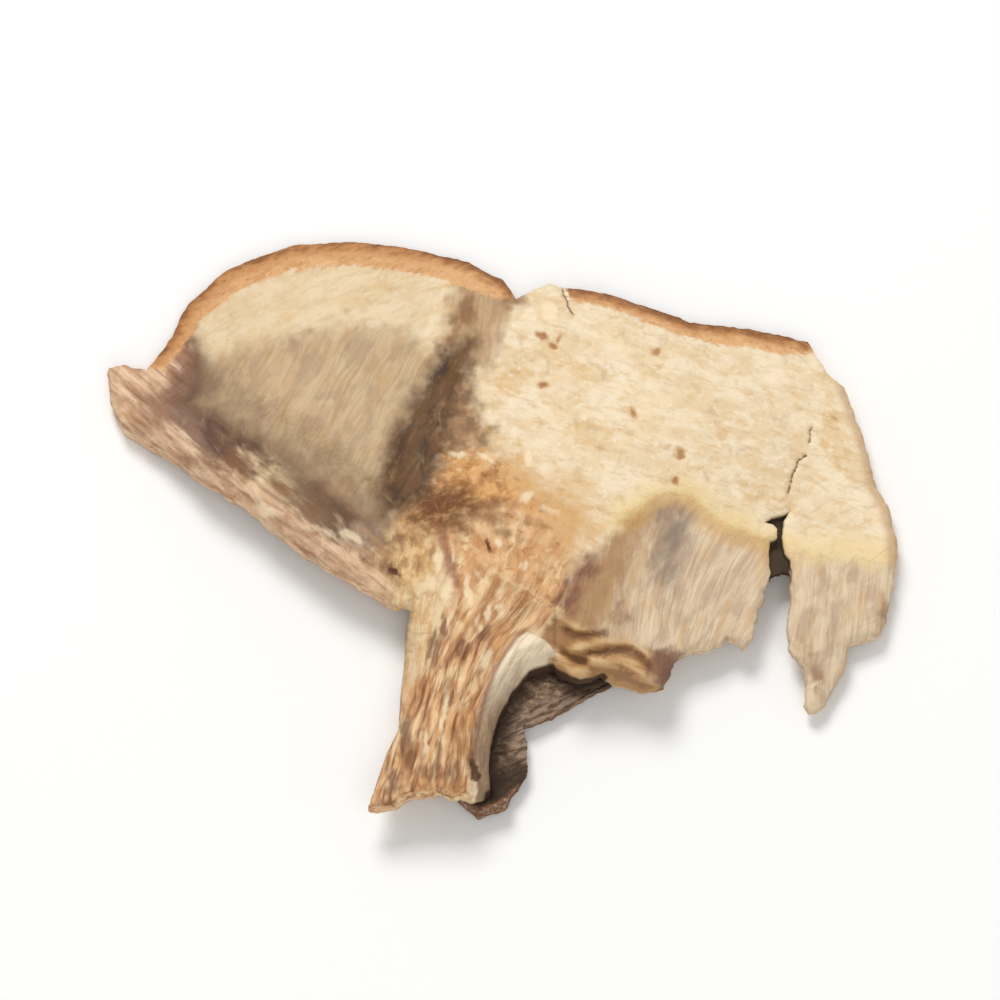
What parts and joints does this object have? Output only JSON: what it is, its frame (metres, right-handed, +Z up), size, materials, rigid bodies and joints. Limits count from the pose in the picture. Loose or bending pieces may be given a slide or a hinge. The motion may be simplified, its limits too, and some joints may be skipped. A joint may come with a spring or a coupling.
{
  "type": "dried porcini mushroom slice",
  "caption": "Thin lengthwise slice of a dried porcini mushroom: curled cap with skin, cream flesh and tubes, and a streaked stem rolled under itself.",
  "frame": {"origin": "on the table, under the centre of the slice's bounding box", "axes": "+X across the cap to the right, +Y from the foot of the stem to the top of the cap, +Z up out of the visible cut face"},
  "size_m": [0.0632, 0.051, 0.0058],
  "materials": {
    "dried_flesh": "dry, matt and fibrous, from cream flesh to brown skin"
  },
  "bodies": {
    "root": {"porcini_slice": "dried_flesh"}
  },
  "joints": []
}
